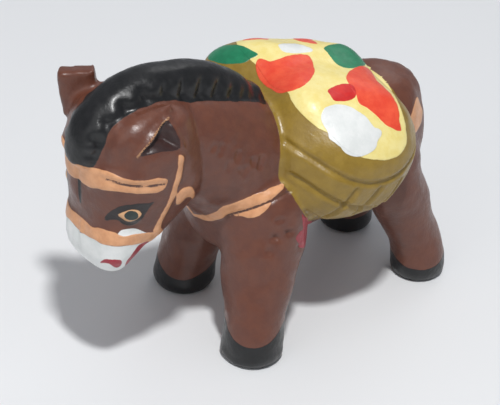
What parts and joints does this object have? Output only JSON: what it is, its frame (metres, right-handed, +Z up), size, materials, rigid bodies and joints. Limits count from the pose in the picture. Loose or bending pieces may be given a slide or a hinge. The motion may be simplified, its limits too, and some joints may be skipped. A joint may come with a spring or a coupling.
{
  "type": "ceramic donkey figurine",
  "caption": "Small painted clay donkey figurine with a bowed head, ribbed mane and laden baskets on its flanks.",
  "frame": {"origin": "middle of the bounding box, on the ground that the hooves stand on", "axes": "+Z up, the donkey faces -Y, its left side is +X"},
  "size_m": [0.032, 0.0628, 0.0443],
  "materials": {
    "painted_clay": "brush-painted and varnished, semi-gloss"
  },
  "bodies": {
    "root": {"donkey": "painted_clay"}
  },
  "joints": []
}
